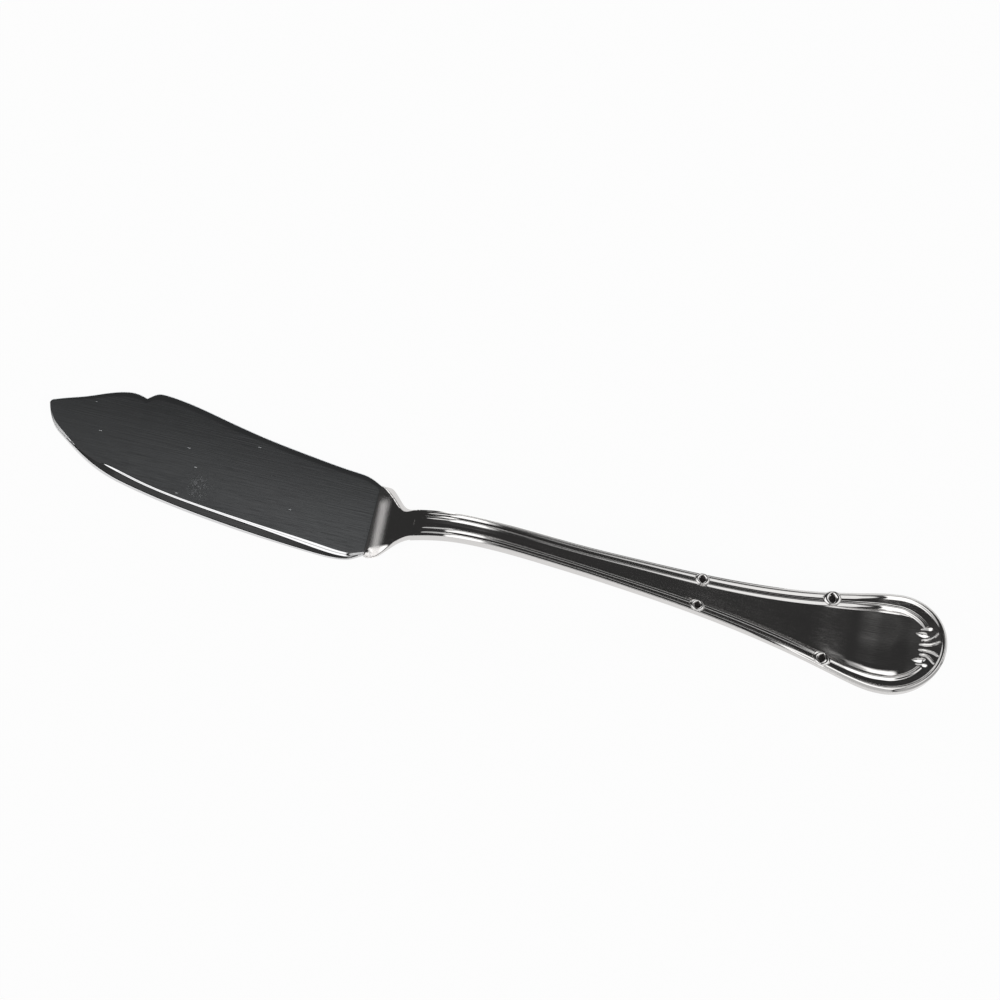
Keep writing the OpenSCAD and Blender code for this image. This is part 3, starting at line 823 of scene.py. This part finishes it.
@dataclass
class Neck(Part):
    """The flare that climbs from the blade to the shank."""

    steps: int = 120
    across: int = 60
    wall_round: float = 0.5
    wall_start: float = 0.1
    wall_least_h: float = 0.3
    # Shares of the inset and of the depth, from the rim to the foot of the wall
    wall_curve: Pairs = ((0.0, 0.3), (0.0, 0.6), (0.1, 0.8), (0.4, 0.93), (1.0, 1.0))
    least_z: float = 0.12
    corner_drop: float = 1.2
    corner_rise: Zone = (0.0, 0.2)
    corner_fade: Zone = (0.24, 0.74)
    corner_share: float = 0.27
    corner_flat: float = 0.88
    corner_power: float = 1.5
    crown_fade: Zone = (0.0, 0.6)
    near_bulge: float = 0.65
    near_start: float = 0.5
    near_rise: Zone = (0.0, 0.1)
    near_fade: Zone = (0.6, 1.0)
    far_bulge: float = 1.15
    far_rise: Zone = (0.0, 0.32)
    far_fade: Zone = (0.5, 0.9)
    far_round: float = 2.6
    far_fall: float = 0.8
    far_power: float = 1.25
    far_slim: float = 0.15
    swell_rise: Zone = (0.03, 0.36)
    swell_fade: Zone = (0.5, 0.95)

    def build(self) -> list[bpy.types.Object]:
        """Make the neck.

        Returns:
            The neck.
        """
        x = np.linspace(FORM.neck_x, FORM.shank_x, self.steps)
        s = (x - FORM.neck_x) / FORM.neck_l
        k = FORM.neck_side(s)
        near = -blend(-FORM.edge_y(np.array(1.0)), FORM.half_w(FORM.shank_x), k)
        far = blend(FORM.spine_y(np.array(1.0)), FORM.half_w(FORM.shank_x), k)
        far = far + hump(self.far_bulge, self.far_rise, self.far_fade, s)
        full = blend(self.near_start, 1.0, smooth_step(*self.near_rise, s))
        near = near - self.near_bulge * full * (1 - smooth_step(*self.near_fade, s))
        z = FORM.top_z(x)
        crown = FORM.crown * ((far - near) / 2 / FORM.crown_half) ** 2
        crown = crown * (1 - smooth_step(*self.crown_fade, s))
        corner = hump(self.corner_drop, self.corner_rise, self.corner_fade, s)
        soft = blend(self.far_slim, self.far_round, hump(1.0, self.swell_rise, self.swell_fade, s))
        cols = []
        for v in np.sin(np.linspace(-math.pi / 2, math.pi / 2, self.across)):
            y = blend(near, far, (v + 1) / 2)
            reach = np.clip((-v - 1 + self.corner_share) / self.corner_share / self.corner_flat, 0, 1)
            low = corner * reach**self.corner_power
            turn = np.clip((y - far + soft) / soft, 0, 1)
            low = low + crown * v * v + self.far_fall * soft * turn**self.far_power
            cols.append(np.column_stack([x, y, np.maximum(z - low, self.least_z)]))
        foot = z - FORM.body_t(x)
        inset = self.wall_round * blend(self.wall_start, 1.0, s)
        curve = self.wall_curve
        for rim, out, order in ((cols[-1], 1.0, curve), (cols[0], -1.0, curve[::-1])):
            bottom = np.maximum(np.minimum(foot, rim[:, 2] - self.wall_least_h), 0)
            for share, depth in order:
                side = blend(rim[:, 2], bottom, depth)
                cols.append(np.column_stack([x, rim[:, 1] - out * inset * share, side]))
        return [self.dress(Maker.loft("neck_flare", np.stack(cols, 1)), "neck")]


@dataclass
class HandlePlate(Part):
    """The arched shank and paddle, with its rounded wall and plain underside."""

    field_cells: int = 20
    wall_round: float = 0.45
    wall_low: float = 0.6
    wall_cells: int = 9
    under_cells: int = 8
    edge_drop: float = 0.04
    # Distances in from the outline, as numbers of reeds and grooves
    border_cells: Pairs = ((0, 0), (0.5, 0), (1, 0), (1, 0.25), (1, 0.75), (1, 1), (2, 1))

    def half(self, side: Side) -> tuple[list[Points], list[Points]]:
        """Work out one side of every section.

        Args:
            side: Which side.

        Returns:
            Columns of points on the top from the outline to the axis, and on the wall and
            underside from the outline to the axis.
        """
        outline, inward, read_at = Rim(side).stations()
        reed, groove = FORM.reed_w(read_at), FORM.groove_w(read_at)
        border = 2 * reed + groove
        drop = FORM.shoulder_drop(read_at) + self.edge_drop
        top = []
        for reeds, grooves in self.border_cells:
            depth = reed * reeds + groove * grooves
            p = outline + inward * depth[:, None]
            edge = drop * (1 - np.clip(2 * depth / reed, 0, 1)) ** 2
            top.append(np.column_stack([p, floor_z(p[:, 0], depth, read_at) - edge]))
        inner = outline + inward * border[:, None]
        for share in (1 - np.cos(np.linspace(0, math.pi / 2, self.field_cells)[1:])):
            y = inner[:, 1] * (1 - share)
            top.append(np.column_stack([inner[:, 0], y, plate_z(inner[:, 0], y)]))
        low = []
        for turn in np.linspace(0, math.pi / 2, self.wall_cells):
            p = outline + inward * self.wall_round * (1 - math.cos(turn))
            t = FORM.body_t(p[:, 0])
            low.append(np.column_stack([p, FORM.top_z(p[:, 0]) - t + self.wall_low * (1 - math.sin(turn))]))
        p = outline + inward * self.wall_round
        for share in np.linspace(0, 1, self.under_cells)[1:]:
            z = FORM.top_z(p[:, 0]) - FORM.body_t(p[:, 0])
            low.append(np.column_stack([p[:, 0], p[:, 1] * (1 - share), z]))
        return top, low

    def build(self) -> list[bpy.types.Object]:
        """Make the plate.

        Returns:
            The plate.
        """
        near_top, near_low = self.half(Side.NEAR)
        far_top, far_low = self.half(Side.FAR)
        cols = near_top + far_top[-2::-1] + far_low + near_low[-2::-1]
        return [self.dress(Maker.loft("handle_plate", np.stack(cols, 1)), "handle")]


@dataclass
class Reeds(Part):
    """The two threads that border the handle."""

    height: float = 0.28
    height_end: float = 0.38
    climb_share: float = 0.54
    cells: int = 17
    sink: float = 0.02
    skirt: float = 0.1
    start_run: float = 2.2
    start_sink: float = 0.08
    climb_zone: Zone = (7.0, 9.5)
    tie_zone: Zone = (0.35, 1.0)
    tie_share: float = 0.1
    foot_power: int = 8
    shoulder_power: float = 1.8

    def swell(self, x: Points, read_at: Points) -> Points:
        """Height of a reed: it rises from nothing at its start and dips inside each eyelet."""
        run = x - FORM.neck_x - FORM.reed_start
        start = smooth_step(0, self.start_run, run)
        grow = blend(self.height, self.height_end, FORM.reed_track(FORM.along(read_at)))
        dips = np.ones_like(x)
        for back in (FORM.tie_narrow_back, FORM.tie_wide_back):
            away = np.abs(read_at - (FORM.end_x - back))
            dips *= blend(self.tie_share, 1.0, smooth_step(*self.tie_zone, away))
        climb = blend(self.climb_share, 1.0, smooth_step(*self.climb_zone, run))
        return start * climb * dips * grow - self.start_sink * (1 - start)

    def columns(self, side: Side, outer: bool) -> Points:
        """Points across one reed at every station.

        Args:
            side: Which side of the handle.
            outer: True for the outer reed, whose outer flank runs down to the wall.

        Returns:
            Array of stations by points across by three.
        """
        outline, inward, read_at = Rim(side, start_x=FORM.neck_x + FORM.reed_start).stations()
        reed, groove = FORM.reed_w(read_at), FORM.groove_w(read_at)
        start, end = (0 * reed, reed) if outer else (reed + groove, 2 * reed + groove)
        drop = FORM.shoulder_drop(read_at) * float(outer)
        cols = []
        for c in np.linspace(-1, 1, self.cells):
            depth = blend(start, end, (1 + c) / 2)
            p = outline + inward * depth[:, None]
            rise = self.swell(p[:, 0], read_at) * (1 + math.cos(math.pi * c)) / 2
            low = self.sink * abs(c) ** self.foot_power
            low = low + (drop if c < 0 else 0 * drop) * abs(c) ** self.shoulder_power
            z = floor_z(p[:, 0], depth, read_at) + rise - low
            cols.append(np.column_stack([p, z]))
        for depth in (end, start):
            p = outline + inward * depth[:, None]
            z = floor_z(p[:, 0], depth, read_at) - self.sink - drop - self.skirt
            cols.append(np.column_stack([p, z]))
        return np.stack(cols, 1)

    def build(self) -> list[bpy.types.Object]:
        """Make the reeds.

        Returns:
            The outer reed and the two inner reeds.
        """
        near, far = self.columns(Side.NEAR, True), self.columns(Side.FAR, True)
        whole = np.concatenate([near, far[-2::-1]])
        made = [self.dress(Maker.loft("outer_thread", whole, RELIEF_ANGLE), "outer_reed")]
        for side in Side:
            cols = self.columns(side, False)
            centre = cols[:, self.cells // 2, :2] - (FORM.round_x, 0)
            angle = np.degrees(np.arctan2(np.abs(centre[:, 1]), centre[:, 0]))
            kept = cols[(angle > FORM.curl_angle) | (centre[:, 0] < 0)]
            name = f"inner_thread_{side.name.lower()}"
            made.append(self.dress(Maker.loft(name, kept, RELIEF_ANGLE), "inner_reeds"))
        return made


@dataclass
class Ties(Part):
    """The four ribbon eyelets that bind the reeds."""

    half_l: float = 1.15
    ring_w: float = 0.72
    ring_h: float = 0.42
    ring_z: float = 0.28
    ring_inset: float = 0.35
    waist: float = 0.55
    plain_arm: float = 0.8
    arm_l: float = 0.55
    # A name, the distance from the handle end, and how much broader the ring is at its two ends
    places: tuple[tuple[str, float, float], ...] = (
        ("shank", FORM.tie_narrow_back, 0.8),
        ("paddle", FORM.tie_wide_back, 1.3),
    )
    pit_h: float = 0.3
    # Shares of the ring's size and of the pit's height, from the rim inwards
    pit_lip: Pairs = ((1.0, 0.0), (1.0, 0.8), (0.6, 0.45), (0.05, 0.3), (0.05, 0.0))
    # Near-black colour for the bowl in each eyelet: painted shade, not the steel's own colour
    shade_pit: PolishedSteel = PolishedSteel("pit_painted_shade", colour=(0.07, 0.065, 0.065), roughness=0.3)
    turns: int = 72
    cells: int = 14
    lean: float = 1.15

    def ring(self, side: Side, back: float, arm: float) -> tuple[bpy.types.Object, bpy.types.Object]:
        """Make one eyelet: a pointed ring over both reeds, with a bowl inside coloured near-black as
        painted shade.

        Args:
            side: Which side of the handle.
            back: Distance from the handle end.
            arm: How much broader the ring is at its two ends, as a share.

        Returns:
            The eyelet and its painted-shade bowl.
        """
        x = np.array([FORM.end_x - back])
        slope = float(FORM.spread(x)[0])
        along = np.array([1.0, slope]) / math.hypot(1, slope)
        inward = np.array([along[1], -along[0]])
        reed, groove = float(FORM.reed_w(x)[0]), float(FORM.groove_w(x)[0])
        border = 2 * reed + groove
        centre = np.array([x[0], float(FORM.half_w(x)[0])]) + inward * border / 2
        half_w = border / 2 - self.ring_w * self.ring_inset
        half_l = self.half_l + self.ring_w * (arm - self.plain_arm) * self.arm_l
        middle = float(floor_z(x, np.array([border / 2]), x)[0])
        rings, shade_pit = [], []
        for turn in np.linspace(0, 2 * math.pi, self.turns, endpoint=False):
            c, s = math.cos(turn), math.sin(turn)
            a = half_l * math.copysign(abs(c) ** self.lean, c)
            b = half_w * math.copysign(abs(s) ** self.lean, s)
            out = np.array([c / half_l, s / half_w])
            out /= np.linalg.norm(out)
            wide = self.ring_w * (self.waist + arm * abs(c))
            ring = []
            for k in np.linspace(0, 2 * math.pi, self.cells, endpoint=False):
                off = math.cos(k) * wide / 2
                p = centre + along * (a + out[0] * off) + inward * (b + out[1] * off)
                depth = np.clip(border / 2 + b + out[1] * off, 0, border)
                base = float(floor_z(p[:1], depth, x)[0])
                ring.append((p[0], side.value * p[1], base + self.ring_z + self.ring_h * math.sin(k)))
            rings.append(ring)
            lip = []
            for share, rise in self.pit_lip:
                p = centre + along * a * share + inward * b * share
                lip.append((p[0], side.value * p[1], middle + self.pit_h * rise))
            shade_pit.append(lip)
        rings.append(rings[0])
        shade_pit.append(shade_pit[0])
        eyelet = Maker.loft("eyelet", np.array(rings), RELIEF_ANGLE)
        return eyelet, Maker.loft("shade_pit", np.array(shade_pit), RELIEF_ANGLE)

    def build(self) -> list[bpy.types.Object]:
        """Make the eyelets.

        Returns:
            Each eyelet, followed by its painted-shade bowl.
        """
        made = []
        for side in Side:
            for label, back, arm in self.places:
                eyelet, shade_pit = self.ring(side, back, arm)
                for kind, piece, finish in (("tie", eyelet, self.finish), ("shade_pit", shade_pit, self.shade_pit)):
                    piece.name = piece.data.name = f"{kind}_{label}_{side.name.lower()}"
                    made.append(self.dress(piece, "ribbon_ties", finish=finish))
        return made


@dataclass(frozen=True)
class BeadLine:
    """A rounded bead along a few places on the round end, as shares of the radius inside the rim."""

    places: Pairs
    swells: tuple[float, ...]
    width: float
    height: float
    crest: float = 0.8
    steps: int = 48
    cells: int = 14
    sink: float = 0.1
    far_share: float = 0.12
    domed: bool = False
    end_share: float = 0.05
    end_power: int = 10
    reach: float = 0.01

    def rings(self, side: Side) -> Points:
        """Work out the bead's sections.

        Args:
            side: Which side of the handle axis.

        Returns:
            Array of sections, each a closed loop of points.
        """
        at = np.linspace(0, 1, len(self.places))
        fwd = Track(tuple(zip(at, (p[0] for p in self.places))))
        out = Track(tuple(zip(at, (p[1] for p in self.places))))
        size = Track(tuple(zip(at, self.swells)))
        s = np.linspace(0, 1, self.steps)
        r = FORM.end_r - FORM.reed_w_end
        d = self.reach

        def place(share: Points) -> Points:
            """Plan points at shares of the way along."""
            return np.stack([FORM.round_x + r * fwd(share), side.value * r * out(share)], 1)

        run = place(np.clip(s + d, 0, 1)) - place(np.clip(s - d, 0, 1))
        run /= np.linalg.norm(run, axis=1)[:, None]
        across = np.stack([-run[:, 1], run[:, 0]], 1)
        ease = np.sqrt(np.clip(1 - (2 * s - 1) ** self.end_power, 0, 1))
        ease = blend(self.end_share, 1.0, ease)
        wide = self.width / 2 * size(s) * ease
        high = self.height * np.minimum(1, size(s)) * ease
        cols = []
        for share in np.linspace(0, 1, self.cells):
            p = place(s) + across * (wide * (2 * share - 1))[:, None]
            rise = min(share / self.crest, 1.0)
            past = (max(share - self.crest, 0.0) / (1 - self.crest)) ** 2
            if self.domed:
                rise = (1 - math.cos(math.pi * rise)) / 2
                past = (1 - math.cos(math.pi * math.sqrt(past))) / 2
            grown = (high + self.sink) * (rise - self.far_share * past)
            cols.append(np.column_stack([p, plate_z(p[:, 0], p[:, 1]) + grown - self.sink]))
        for share in (1.0, 0.0):
            p = place(s) + across * (wide * (2 * share - 1))[:, None]
            cols.append(np.column_stack([p, plate_z(p[:, 0], p[:, 1]) - 2 * self.sink]))
        return np.stack(cols, 1)


@dataclass
class EndOrnament(Part):
    """The fan, its petals and the curls of the inner reeds."""

    ridge_inner: BeadLine = BeadLine(
        ((0.552, 0.061), (0.665, 0.066), (0.773, 0.076), (0.894, 0.115), (0.99, 0.18)),
        (0.7, 1, 1, 1, 0.9),
        width=1.0,
        height=0.4,
        crest=0.6,
        far_share=1.0,
        domed=True,
    )
    ridge_outer: BeadLine = BeadLine(
        ((0.584, 0.166), (0.665, 0.17), (0.733, 0.181), (0.825, 0.246), (0.93, 0.375)),
        (0.7, 1, 1, 1, 0.9),
        width=1.0,
        height=0.4,
        crest=0.6,
        far_share=1.0,
        domed=True,
    )
    petal: BeadLine = BeadLine(
        ((0.453, 0.312), (0.527, 0.307), (0.619, 0.296), (0.687, 0.281), (0.754, 0.261)),
        (0.1, 0.7, 1, 0.85, 0.3),
        width=1.8,
        height=0.38,
        crest=0.5,
        far_share=1.0,
        domed=True,
    )
    curl: BeadLine = BeadLine(
        ((0.538, 0.403), (0.619, 0.418), (0.687, 0.422), (0.745, 0.426), (0.796, 0.433)),
        (0.4, 0.8, 1, 1.3, 0.8),
        width=0.6,
        height=0.4,
    )

    def build(self) -> list[bpy.types.Object]:
        """Make the ornament.

        Returns:
            Its pieces on both sides.
        """
        made = []
        kinds = (
            ("ridge_inner", self.ridge_inner, "fan_ridges"),
            ("ridge_outer", self.ridge_outer, "fan_ridges"),
            ("petal", self.petal, "fan_petals"),
            ("curl", self.curl, "end_curls"),
        )
        for label, line, node in kinds:
            for side in Side:
                piece = Maker.loft(f"{label}_{side.name.lower()}", line.rings(side), RELIEF_ANGLE)
                made.append(self.dress(piece, node))
        return made


@dataclass(frozen=True)
class Sky:
    """The light that the steel mirrors: a dark ceiling with soft boxes low round the knife.

    A direction is read as u, to the right, and v, to the back, both as shares of its height.
    """

    ceiling: float = 0.04
    least_height: float = 0.02
    left_edge: Zone = (-0.06, 0.06)
    left_lean: float = 0.05
    near_edge: Zone = (-0.35, -0.05)
    near_level: float = 1.75
    corner_edge: Zone = (-0.66, -0.58)
    corner_shift: float = 0.42
    strip_rise: Zone = (-0.6, -0.45)
    strip_fall: Zone = (-0.32, -0.15)
    box_rise: Zone = (-0.67, -0.58)
    box_fall: Zone = (-0.1, -0.02)
    box_back: Zone = (-0.05, 0.14)
    box_level: float = 1.75
    right_edge: Zone = (0.42, 0.65)
    right_back: Zone = (0.8, 1.2)
    right_level: float = 1.3
    far_rise: Zone = (1.0, 1.4)
    far_fall: Zone = (3.2, 4.2)
    far_left: Zone = (-1.6, -1.2)
    far_right: Zone = (0.45, 0.65)
    far_level: float = 0.45
    far_boost: float = 1.3
    far_boost_edge: Zone = (0.05, 0.35)
    rim_edge: Zone = (4.0, 6.0)
    rim_right: Zone = (-1.1, -0.8)
    rim_level: float = 0.8
    haze_rise: Zone = (0.32, 0.38)
    haze_fall: Zone = (0.38, 0.5)
    haze_level: float = 0.05
    haze_boost: float = 0.065
    haze_boost_edge: Zone = (-0.17, -0.06)
    haze_right: Zone = (0.0, 0.12)
    grazing_edge: Zone = (5.0, 7.5)
    grazing_loss: float = 0.6

    @staticmethod
    def window(value: Sock, rise: Zone, fall: Zone) -> Sock:
        """A soft-edged window on a value.

        Args:
            value: What is read.
            rise: Where the window opens.
            fall: Where it closes.

        Returns:
            1 inside and 0 outside.
        """
        return value.step(*rise) * (1.0 - value.step(*fall))

    def boxes(self, u: Sock, v: Sock) -> tuple[Sock, ...]:
        """Work out the light of each soft box.

        Args:
            u: The direction's lean to the right.
            v: The direction's lean to the back.

        Returns:
            The level of each box in that direction.
        """
        left = 1.0 - (u + v.math("MINIMUM", v, 0.0) * self.left_lean).step(*self.left_edge)
        right = u.step(*self.right_edge) * (1.0 - v.step(*self.right_back)) * self.right_level
        corner = self.corner_shift * (1.0 - u.step(*self.corner_edge))
        strip = self.window(v, self.strip_rise, self.strip_fall) * (1.0 - left)
        near = (1.0 - (v + corner).step(*self.near_edge)) * left * self.near_level
        box = self.window(u, self.box_rise, self.box_fall) * (1.0 - v.step(*self.box_back)) * self.box_level
        dim = self.far_level + self.far_boost * (1.0 - u.step(*self.far_boost_edge))
        far = self.window(v, self.far_rise, self.far_fall)
        far = far * self.window(u, self.far_left, self.far_right) * dim
        rim = v.step(*self.rim_edge) * (1.0 - u.step(*self.rim_right)) * self.rim_level
        grazing = 1.0 - (u * u + v * v).step(*self.grazing_edge) * self.grazing_loss
        return near * grazing, strip, box * grazing, far, rim, right * grazing

    def haze(self, u: Sock, v: Sock) -> Sock:
        """The faint glow on the ceiling that greys the flat of the blade."""
        boost = self.haze_level + u.step(*self.haze_boost_edge) * self.haze_boost
        return self.window(v, self.haze_rise, self.haze_fall) * boost * (1.0 - u.step(*self.haze_right))

    def build(self) -> None:
        """Hang the light round the knife. The camera itself sees white."""
        world = bpy.data.worlds.new("studio")
        world.use_nodes = True
        tree = world.node_tree
        tree.nodes.clear()
        start = Sock(tree, 0.0)
        way = start.node("ShaderNodeTexCoord", {}).outputs["Generated"]
        axes = start.node("ShaderNodeSeparateXYZ", {}, i0=way)
        x, y, z = (Sock(tree, axes.outputs[i]) for i in range(3))
        up = z.math("MAXIMUM", z, self.least_height)
        u, v = x.math("DIVIDE", x, up), y.math("DIVIDE", y, up)
        level = self.ceiling + self.haze(u, v)
        for light in self.boxes(u, v):
            level = level.math("MAXIMUM", level, light)
        seen = Sock(tree, start.node("ShaderNodeLightPath", {}).outputs["Is Camera Ray"])
        level = level.math("MAXIMUM", level, seen)
        glow = start.node("ShaderNodeBackground", {}, Color=(1.0, 1.0, 1.0, 1.0), Strength=level)
        start.node("ShaderNodeOutputWorld", {}, Surface=glow.outputs[0])
        bpy.context.scene.world = world


@dataclass
class Studio:
    """The camera, the floor and the light round the knife. Nothing here belongs to the knife."""

    elevation: float = 66.0
    roll: float = 13.25
    distance: float = 0.620
    pixels_per_mm: float = 4.604
    target_mm: tuple[float, float] = (-0.276, 12.822)
    frame_px: float = 1000.0
    sensor_mm: float = 36.0
    clip_start: float = 0.01
    floor_size: float = 6.0
    floor_glow: float = 0.95
    floor_matt: float = 0.85

    def camera(self) -> None:
        """Place the camera at the photo's angle."""
        e, roll = math.radians(self.elevation), math.radians(self.roll)
        back = Vector((0.0, -math.cos(e), math.sin(e)))
        up = Vector((0.0, math.sin(e), math.cos(e)))
        right = Vector((1.0, 0.0, 0.0))
        image_right = right * math.cos(roll) + up * math.sin(roll)
        image_up = up * math.cos(roll) - right * math.sin(roll)
        target = Vector((self.target_mm[0] * MM, (self.target_mm[1] + FORM.y_shift) * MM, 0.0))
        data = bpy.data.cameras.new("photo_camera")
        data.sensor_width = self.sensor_mm
        data.lens = self.pixels_per_mm * self.distance / MM * self.sensor_mm / self.frame_px
        data.clip_start = self.clip_start
        eye = bpy.data.objects.new("photo_camera", data)
        bpy.context.scene.collection.objects.link(eye)
        turn = Matrix((image_right, image_up, back)).transposed().to_4x4()
        eye.matrix_world = Matrix.Translation(target + back * self.distance) @ turn
        bpy.context.scene.camera = eye

    def white(self, name: str, seen: float, lit: float) -> bpy.types.Material:
        """A white that shows as pure white to the camera and in reflections, and keeps a shadow.

        Args:
            name: Name of the material.
            seen: Share of the glow in what the camera sees.
            lit: Colour of the matt part.

        Returns:
            The material.
        """
        made = bpy.data.materials.new(name)
        made.use_nodes = True
        tree = made.node_tree
        tree.nodes.clear()
        start = Sock(tree, 0.0)
        path = start.node("ShaderNodeLightPath", {})
        ray = Sock(tree, path.outputs["Is Camera Ray"]) + Sock(tree, path.outputs["Is Glossy Ray"])
        ray = ray + Sock(tree, path.outputs["Is Transmission Ray"])
        share = ray.math("MINIMUM", ray, 1.0) * seen
        matt = start.node("ShaderNodeBsdfDiffuse", {}, Color=(lit, lit, lit, 1.0))
        glow = start.node("ShaderNodeEmission", {}, Color=(1.0, 1.0, 1.0, 1.0), Strength=1.0)
        mixed = start.node("ShaderNodeMixShader", {}, i0=share, i1=matt.outputs[0], i2=glow.outputs[0])
        start.node("ShaderNodeOutputMaterial", {}, Surface=mixed.outputs[0])
        return made

    def build(self) -> None:
        """Set up the studio."""
        self.camera()
        Maker.clear()
        bpy.ops.mesh.primitive_plane_add(size=self.floor_size, location=(0, 0, 0))
        floor = bpy.context.object
        floor.name = "floor"
        floor.data.materials.append(self.white("floor_white", self.floor_glow, self.floor_matt))
        Sky().build()
        bpy.context.scene.view_settings.view_transform = "Standard"


def main() -> None:
    """Build the studio and the knife."""
    logging.basicConfig(level=logging.INFO, format="%(name)s: %(message)s")
    Studio().build()
    blade = PolishedSteel(
        "blade_steel",
        (0.605, 0.62, 0.635),
        grain=0.12,
        grain_bump=0.006,
        scratches=0.02,
        smudge=0.24,
        # buffed also brings in the band's painted highlight in the base colour
        buffed=0.5,
    )
    edge = PolishedSteel("edge_steel", grain=0.02, grain_bump=0.003)
    # The neck's buffed band also carries a painted highlight in its base colour
    neck = PolishedSteel("neck_steel", (0.635, 0.62, 0.61), grain=0.03, grain_bump=0.004, buffed=0.5)
    plate = PolishedSteel("handle_steel", (0.635, 0.62, 0.61), grain=0.1, grain_bump=0.007)
    relief = PolishedSteel("relief_steel", (0.63, 0.62, 0.61), grain=0.02, grain_bump=0.002)
    parts = (
        Blade(blade, Slot.BLADE),
        CuttingEdge(edge, Slot.EDGE),
        Neck(neck, Slot.SHANK),
        HandlePlate(plate, Slot.HANDLE),
        Reeds(relief, Slot.ORNAMENT),
        Ties(relief, Slot.ORNAMENT),
        EndOrnament(relief, Slot.ORNAMENT),
    )
    for part in parts:
        part.build()


if __name__ == "__main__":
    main()
